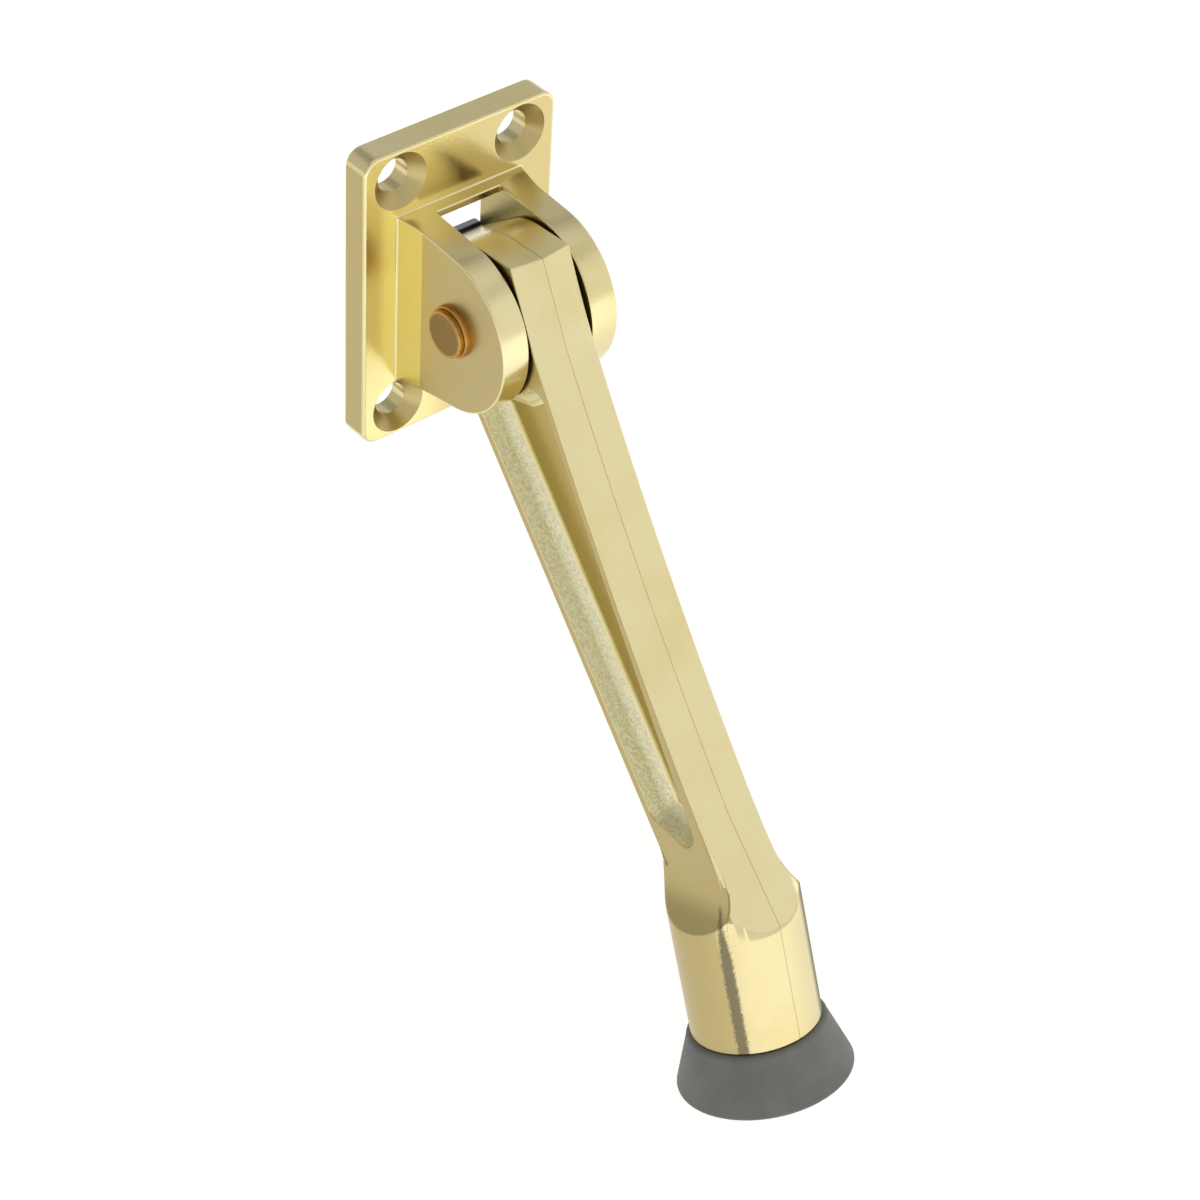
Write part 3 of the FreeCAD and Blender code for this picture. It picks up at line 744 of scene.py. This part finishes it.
# %% [markdown]
# The photograph doesn't show what holds the spring. Screws could, but a casting can have its own studs,
# which are pressed flat over the strip, so two of them stand on the back. The bore for the pin is cut
# last, through both ears at once, as a drill would do it. Marks on the faces then tell the finish which
# faces are satin and painted in shade, which are the plate's front, with its painted highlight, and which
# are the spread at the ears' root, with its painted reflection.

# %% Studs that hold the spring, and the pin's bore
STUD_SIDE = 2.8
STUD_LEVEL = -14.6
PIN_RADIUS = 2.5

towards_back = Matrix.Rotation(math.radians(-90), 4, "X")
sideways = Matrix.Rotation(math.radians(90), 4, "Y")
for side in (1, -1):
    stud = turned("stud", [(1.1, 0.0), (1.1, 1.0), (1.6, 1.0), (1.6, 1.35), (1.35, 1.6)], 48)
    move(stud, Matrix.Translation((side * STUD_SIDE, -SKIN_BACK, STUD_LEVEL)) @ towards_back)
    combine(bracket, stud, "UNION")
bore = turned("bore", [(PIN_RADIUS, -10.0), (PIN_RADIUS, 10.0)], 96)
move(bore, Matrix.Translation(PIVOT) @ sideways)
combine(bracket, bore, "DIFFERENCE")
clean(bracket)


def is_dull_and_shaded(middle, normal):
    """Flat side faces and the countersinks, which are rougher and painted in shade."""
    off_hole = math.hypot(abs(middle.x) - HOLE_ROW / 2, abs(middle.z) - HOLE_COLUMN / 2)
    return abs(normal.x) > 0.99 or off_hole < SINK - 0.02 and 0.2 < abs(normal.y) < 0.95


def is_plate_front(middle, normal):
    return normal.y < -0.99 and abs(middle.y + PLATE_DEPTH) < 0.1


def is_spread(middle, normal):
    return 0.97 < abs(normal.x) < 0.99 and abs(middle.x) > EAR_HALF_SPAN


# The satin mark carries painted shade, the front mark a painted highlight and the spread mark a painted
# reflection.
mark(bracket, "satin", is_dull_and_shaded)
mark(bracket, "front", is_plate_front)
mark(bracket, "spread", is_spread)
settle(bracket, "mounting_bracket", "bracket", bracket_brass)

# %% [markdown]
# The pin is a rivet, turned about X. Its head was formed by a spinning tool, so the rim is round and
# bright and the face is a little dished. A plain cylinder would do at this size from afar, but the
# photograph shows the collar, so half of the pin is drawn as a profile and used for both ends.


# %% Pivot pin
def pin_profile():
    """Half of the pin from its middle to one end, as radius and distance from the middle."""
    collar = [(3.35, EAR_HALF_SPAN), (3.35, 9.25), (3.28, 9.4), (3.12, 9.48), (2.96, 9.45)]
    groove = [(2.86, 9.3), (2.84, 9.15), (2.84, 9.35)]
    rim = [(2.84 + 0.2 * math.cos(math.radians(a)), 9.95 + 0.25 * math.sin(math.radians(a)))
           for a in range(0, 91, 18)]
    dish = [(2.6, 10.16), (1.2, 10.12), (0.0, 10.12)]
    return [(PIN_RADIUS, 0.0), (PIN_RADIUS, EAR_HALF_SPAN), *collar, *groove, (3.04, 9.55), *rim, *dish]


half = pin_profile()
pin = turned("rivet", [(radius, -height) for radius, height in reversed(half)] + half[1:])
move(pin, Matrix.Translation(PIVOT) @ sideways)
settle(pin, "pivot_pin", "bracket", pin_brass)

# %% [markdown]
# A flat steel strip behind the plate presses on the hub and holds the arm up or down. Only its top edge
# shows, through the window over the hub. It bends when the arm turns, but a bend would have to follow
# the pose, so it is drawn flat, as it lies against the hub at rest.

# %% Leaf spring
STRIP_THICK = 1.0
top_corners = [*arc((4.5, 3.5), 0.7, 0, 90, 8), *arc((-4.5, 3.5), 0.7, 90, 180, 8)]
strip_outline = [(-5.2, -17.9), (5.2, -17.9), *top_corners]
spring = prism("spring_strip", strip_outline, "y", -SKIN_BACK, STRIP_THICK - SKIN_BACK)
for side in (1, -1):
    hole = turned("hole", [(1.15, -4.0), (1.15, 4.0)], 48)
    move(hole, Matrix.Translation((side * STUD_SIDE, 0, STUD_LEVEL)) @ towards_front)
    combine(spring, hole, "DIFFERENCE")
soften(spring, 0.12, 2)
settle(spring, "leaf_spring", "bracket", spring_steel)

# %% [markdown]
# The arm's bar is drawn from the side, about the pivot and with its socket upright. Its front falls away
# a little on both sides of the seam, so the outline is set four times across the width: at the sides,
# and close to the middle with the front further out. Walls between them give the fall. A chamfer could
# cut it too, but its edges would have to be picked out first. At its foot the front steps back to the
# point BURIED, so that it ends inside the socket.

# %% Hub and bar
HUB = 9.55
FLAT = 9.45
FLAT_TURN = 75.0
CROWN = 0.5
FRONT_BOW = -470.0
BROW = (-7.95, 7.3)
KNEE = (-9.2, -4.0)
LOW = (-24.0, -62.5)
BURIED = (-27.8, -74.2)
HEEL = (-18.2, -76.0)


def forward(point, reach):
    """Moves a point of the side view ahead of the arm."""
    return (point[0] - reach, point[1])


def bar_outline(crown):
    """Side view of the hub and bar, whose front stands out by the crown."""
    share = math.degrees(math.acos(FLAT / HUB))
    brow = forward(BROW, CROWN)
    brow_touch = tangent_point((0, 0), HUB, brow, -1)
    back_touch = tangent_point((0, 0), HUB, HEEL, 1)
    if crown < CROWN:
        brow = tuple(Vector(brow).lerp(Vector(brow_touch), 0.09))
    knee, low, buried = (forward(point, crown) for point in (KNEE, LOW, BURIED))
    top = arc((0, 0), HUB, FLAT_TURN + share, heading((0, 0), brow_touch), 12)
    under = arc((0, 0), HUB, heading((0, 0), back_touch), -share, 8)
    cam_corner = (FLAT, FLAT * math.tan(math.radians(FLAT_TURN / 2)))
    return [cam_corner, *top, brow, knee, *bow(knee, low, FRONT_BOW, 24), low, buried, HEEL, *under]


side_outline = bar_outline(0.0)
middle_outline = bar_outline(CROWN)
arm = loft("arm_casting", [lay(side_outline, "x", -BAR_HALF), lay(middle_outline, "x", -CROWN / 4),
                           lay(middle_outline, "x", CROWN / 4), lay(side_outline, "x", BAR_HALF)])
print("bar:", len(side_outline), "points in its outline")

# %% [markdown]
# The socket is turned, then trimmed on its own before it joins the bar: along a plane that carries on
# from the bar's front, with the same fall to both sides, and by a scoop on each flank that leads from
# the flat bar out to the round. Its top ends inside the bar, so that the two meet only where they
# cross. A smooth sculpted blend would look softer than the photograph, which shows clear facets. FALLS
# says how far the front falls away at each width: a little over the bar, and faster over the round.

# %% Socket
SOCKET = 8.4
SOCKET_END = -92.7
SOCKET_TOP = -61.0
TOE = (-29.3, -74.2)
FLARE_TOP = -68.3
FLARE_FOOT = -75.6
INSIDE = 0.2
WELL = 6.0
WELL_DEPTH = 11.0

# The rings between the two ends keep the faces of the wall short.
socket_profile = [(WELL, SOCKET_END), (SOCKET - 0.4, SOCKET_END), (SOCKET - 0.12, SOCKET_END + 0.12),
                  (SOCKET, SOCKET_END + 0.4), (SOCKET, -85.0), (SOCKET, -79.0), (SOCKET, -77.0),
                  (SOCKET, SOCKET_TOP)]
socket = turned("socket", socket_profile, 160)
move(socket, Matrix.Translation((0, AXIS, 0)))

low = Vector(forward(LOW, CROWN))
way = Vector(forward(TOE, CROWN)) - low
ahead = Vector((way.y, -way.x)).normalized()
wide = SOCKET + 1


def across_front(x, fall, stand):
    """A point of the front plane's cut at a width, once above the socket and once past its toe."""
    ends = (low - way * 0.5, low + way * 1.45)
    return [Vector((x, *(end + ahead * (stand - fall)))) for end in ends]


FALLS = [(CROWN / 4, 0.0), (BAR_HALF, CROWN), (5.4, 0.85), (6.3, 1.45), (7.4, 2.5), (wide, 4.6)]
front_cut = [across_front(-wide, 0, 9), across_front(wide, 0, 9)]
front_cut += [across_front(x, fall, 0) for x, fall in reversed(FALLS)]
front_cut += [across_front(-x, fall, 0) for x, fall in FALLS]
combine(socket, loft("front_cut", list(zip(*front_cut))), "DIFFERENCE")

drop = FLARE_TOP - FLARE_FOOT
spread = SOCKET - BAR_HALF + INSIDE
bend = (drop * drop + spread * spread) / (2 * spread)
sweep = math.degrees(math.asin(drop / bend))
flare_curve = arc((BAR_HALF - INSIDE + bend, FLARE_TOP), bend, 180, 180 + sweep, 24)
for side in (1, -1):
    curve = [(side * x, z) for x, z in flare_curve]
    flare = [*curve, (side * wide, FLARE_FOOT), (side * wide, SOCKET_TOP + 1),
             (side * (BAR_HALF - INSIDE), SOCKET_TOP + 1)]
    combine(socket, prism("flare", flare, "y", -45, 10), "DIFFERENCE")

combine(arm, socket, "UNION")
well = turned("well", [(WELL, SOCKET_END - 1), (WELL, SOCKET_END + WELL_DEPTH)], 96)
move(well, Matrix.Translation((0, AXIS, 0)))
combine(arm, well, "DIFFERENCE")
clean(arm)
soften(arm, 0.2, 3, 35)
print("arm with socket:", len(arm.data.polygons), "faces")

# %% [markdown]
# Each side of the bar has a deep pocket. A die can only let go of it if its walls lean, so the pocket
# narrows by twelve degrees, and its corners are round because molten metal won't fill sharp ones. The
# cutter is a stack of outlines, each one inside the last, that tightens fast near the floor. Scaling one
# outline would be simpler, but it would lean the long walls and the short ones by different angles.

# %% Recess outline
DRAFT = math.tan(math.radians(12))
WEB_HALF = 1.0
ROOT = 1.5
RECESS_CORNER = 2.2
RECESS_BOW = -1100.0
FRONT_RAIL_TOP = 1.2
FRONT_RAIL_FOOT = 1.8
BACK_RAIL = 1.0
HUB_RING = 10.3


def inset(points, depth):
    """Moves the sides of a closed outline inwards, for an outline that runs anticlockwise."""
    moved = []
    count = len(points)
    for spot in range(count):
        before, here, after = (Vector(points[(spot + step) % count]) for step in (-1, 0, 1))
        first = (here - before).normalized()
        second = (after - here).normalized()
        normals = [Vector((-way.y, way.x)) for way in (first, second)]
        middle = (normals[0] + normals[1]).normalized()
        moved.append(tuple(here + middle * depth / max(middle.dot(normals[0]), 0.2)))
    return moved


def rounded(points, corners, radius, steps=8):
    """Rounds the named corners of an outline, each with the same number of points."""
    result = []
    count = len(points)
    for spot, point in enumerate(points):
        if spot not in corners:
            result.append(point)
            continue
        here = Vector(point)
        before = (Vector(points[spot - 1]) - here).normalized()
        after = (Vector(points[(spot + 1) % count]) - here).normalized()
        half_angle = before.angle(after) / 2
        away = radius / math.tan(half_angle)
        centre = here + (before + after).normalized() * radius / math.sin(half_angle)
        first = here + before * away - centre
        last = here + after * away - centre
        sweep = first.angle_signed(last)
        for step in range(steps + 1):
            turn = Matrix.Rotation(-sweep * step / steps, 2)
            result.append(tuple(centre + turn @ first))
    return result


def recess_outline():
    """The recess on the bar's side face, between the front rail and the back rail."""
    knee, low = Vector(KNEE), Vector(LOW)
    high_front = tuple(knee.lerp(low, 0.04) + Vector((FRONT_RAIL_TOP, 0)))
    low_front = tuple(knee + (low - knee) * 1.095 + Vector((FRONT_RAIL_FOOT, 0)))
    touch = Vector(tangent_point((0, 0), HUB, HEEL, 1))
    normal = touch / HUB
    down = Vector((normal.y, -normal.x))
    wall = HUB - BACK_RAIL
    start = normal * wall + down * math.sqrt(HUB_RING * HUB_RING - wall * wall)
    end = normal * wall + down * 65.0
    round_hub = arc((0, 0), HUB_RING, heading((0, 0), start), heading((0, 0), high_front), 4)[1:-1]
    front = bow(high_front, low_front, RECESS_BOW, 12)
    return [tuple(end), tuple(start), *round_hub, high_front, *front, low_front]


recess = recess_outline()
corner_spots = (0, 1, 5, len(recess) - 1)
print("recess outline:", [tuple(round(value, 1) for value in recess[spot]) for spot in corner_spots])


# %% Cut the recesses
def recess_sections(side):
    """Outlines from outside the bar, over a softened rim, down drafted walls and into a round root."""
    start = BAR_HALF
    sections = [(start + 0.5, -0.2), (start, -0.2), (start - 0.06, -0.06), (start - 0.2, 0.0)]
    knee_level = WEB_HALF + ROOT
    sections.append((knee_level, (start - knee_level) * DRAFT))
    for angle in range(15, 91, 15):
        turn = math.radians(angle)
        level = knee_level - ROOT * math.sin(turn)
        sections.append((level, (start - level) * DRAFT + ROOT * (1 - math.cos(turn))))
    result = []
    for level, depth in sections:
        shrunk = inset(recess, depth)
        round_outline = rounded(shrunk, corner_spots, max(RECESS_CORNER - depth, 0.35))
        result.append(lay(round_outline, "x", side * level))
    return result


for side in (1, -1):
    combine(arm, loft("recess", recess_sections(side)), "DIFFERENCE")
hub_bore = turned("hub_bore", [(PIN_RADIUS + 0.05, -6.0), (PIN_RADIUS + 0.05, 6.0)], 96)
move(hub_bore, sideways)
combine(arm, hub_bore, "DIFFERENCE")
print("arm with recesses:", len(arm.data.polygons), "faces")

# %% [markdown]
# Until here the arm stands about its own pivot, where its faces are easy to tell apart by place. So the
# marks for the finish are set first, and then the arm is turned out to its rest and moved to the pin.
# Painting by hand could give the same marks, but it would be lost with every change of shape.

# %% Mark the faces and hang the arm
hang = Matrix.Translation(PIVOT) @ Matrix.Rotation(REST, 4, "X")


def in_recess(middle):
    """Walls and floor of the recesses, in the arm's own frame."""
    spot = Vector((middle.y, middle.z))
    below_hub = -67.5 < middle.z < -3 and spot.length > HUB + 0.3
    inside = abs(middle.x) < BAR_HALF - 0.3 and below_hub
    front = KNEE[0] + (LOW[0] - KNEE[0]) * (middle.z - KNEE[1]) / (LOW[1] - KNEE[1])
    backwards = Vector(tangent_point((0, 0), HUB, HEEL, 1)) / HUB
    return inside and middle.y > front + FRONT_RAIL_TOP and spot.dot(backwards) < HUB - 0.5


def is_round(middle, normal):
    """The socket's round outside."""
    off_axis = math.hypot(middle.x, middle.y - AXIS)
    return middle.z < FLARE_FOOT or middle.z < SOCKET_TOP and off_axis > SOCKET - 0.05


def is_satin_and_shaded(middle, normal):
    """The bar's flat flanks and the flares, which are rougher and painted in shade."""
    return abs(middle.x) > BAR_HALF - 0.1 and abs(normal.x) > 0.5 and not is_round(middle, normal)


def is_wall(middle, normal):
    return in_recess(middle) and abs(normal.x) < 0.9


def is_web(middle, normal):
    return in_recess(middle) and abs(normal.x) >= 0.995


# The web, satin and round marks carry painted shade; the cast mark is the recesses' rough skin.
mark(arm, "cast", is_wall)
mark(arm, "web", is_web)
mark(arm, "satin", is_satin_and_shaded)
mark(arm, "round", is_round)
move(arm, hang)
settle(arm, "holder_arm", "arm", arm_brass)

# %% [markdown]
# The foot is moulded rubber, pressed up into the socket by its stem. It could be a plain cone, but the
# photograph shows a small round shoulder at the top, under a thin dark joint, and a rounded sole edge,
# so its profile is turned with those in it.

# %% Rubber foot
SOLE = SOCKET_END - 7.6
STEM = WELL - 0.05
STEM_TOP = SOCKET_END + WELL_DEPTH - 0.5

sole_edge = [(10.95 + 0.4 * math.sin(math.radians(a)), SOLE + 0.4 - 0.4 * math.cos(math.radians(a)))
             for a in range(0, 106, 15)]
shoulder = [(9.1, SOCKET_END - 0.8), (9.04, SOCKET_END - 0.5), (8.87, SOCKET_END - 0.23),
            (8.6, SOCKET_END - 0.06), (8.3, SOCKET_END)]
foot_profile = [(0.0, SOLE), (10.75, SOLE), *sole_edge, *shoulder, (STEM, SOCKET_END), (STEM, STEM_TOP),
                (0.0, STEM_TOP)]
foot = turned("foot", foot_profile, 160)
move(foot, hang @ Matrix.Translation((0, AXIS, 0)))
settle(foot, "rubber_foot", "arm", foot_rubber)

# %% [markdown]
# A pale floor, glowing a little like a light table, keeps the ground white under the holder, more in
# front than at the door. It lies two centimetres under the foot, so that the arm can hang straight down
# without touching it. Polished metal shows the room, so the room is a soft sky: bright ahead of the
# holder and to its right, where a large window would be, and darker overhead and behind, with a darker
# band around it high up, for the metal to reflect. Lamps alone would leave hard-edged reflections.


# %% Stage and light
FLOOR_REACH = 4.0
FLOOR_DROP = 0.02
GLOW_BACK = (0.38, 0.38, 0.38, 1)
GLOW_FRONT = (0.78, 0.78, 0.78, 1)
BRIGHTEST = (0.40, -0.87, 0.28)
BAND_HEIGHT = 0.76


def add_floor():
    """A square of glowing paper under the holder."""
    level = cad_box[0][2] - FLOOR_DROP
    corners = [(FLOOR_REACH * x, FLOOR_REACH * y, level) for x, y in ((-1, -1), (1, -1), (1, 1), (-1, 1))]
    mesh = bpy.data.meshes.new("floor")
    mesh.from_pydata(corners, [], [(0, 1, 2, 3)])
    floor = bpy.data.objects.new("floor", mesh)
    bpy.context.scene.collection.objects.link(floor)
    paper = Finish("floor_paper", Base_Color=(0.95, 0.95, 0.95, 1), Roughness=0.9, Emission_Strength=1.0)
    ahead = paper.axis(1).ramp(0.0, -250.0)
    paper.set(Emission_Color=paper.mix(ahead, GLOW_BACK, GLOW_FRONT))
    mesh.materials.append(paper.material)


def add_room():
    """A sky that is brightest towards one side, with a darker band around it high up."""
    world = bpy.data.worlds.new("room")
    world.use_nodes = True
    tree = world.node_tree
    way = tree.nodes.new("ShaderNodeTexCoord").outputs["Generated"]
    dot = tree.nodes.new("ShaderNodeVectorMath")
    dot.operation = "DOT_PRODUCT"
    tree.links.new(way, dot.inputs[0])
    dot.inputs[1].default_value = Vector(BRIGHTEST).normalized()
    toward = Term(tree, dot.outputs["Value"])
    height = tree.nodes.new("ShaderNodeSeparateXYZ")
    tree.links.new(way, height.inputs[0])
    band = (Term(tree, height.outputs[2]) - BAND_HEIGHT).absolute().ramp(0.11, 0.03)
    shade = toward.ramp(-0.2, 0.75) * 0.36 + 0.60 - band * 0.3
    tree.links.new(shade.socket, tree.nodes["Background"].inputs["Strength"])
    tree.nodes["Background"].inputs["Color"].default_value = (1.0, 0.99, 0.96, 1)
    bpy.context.scene.world = world


add_floor()
add_room()
bpy.context.scene.view_settings.view_transform = "Standard"
print("world:", bpy.context.scene.world.name)
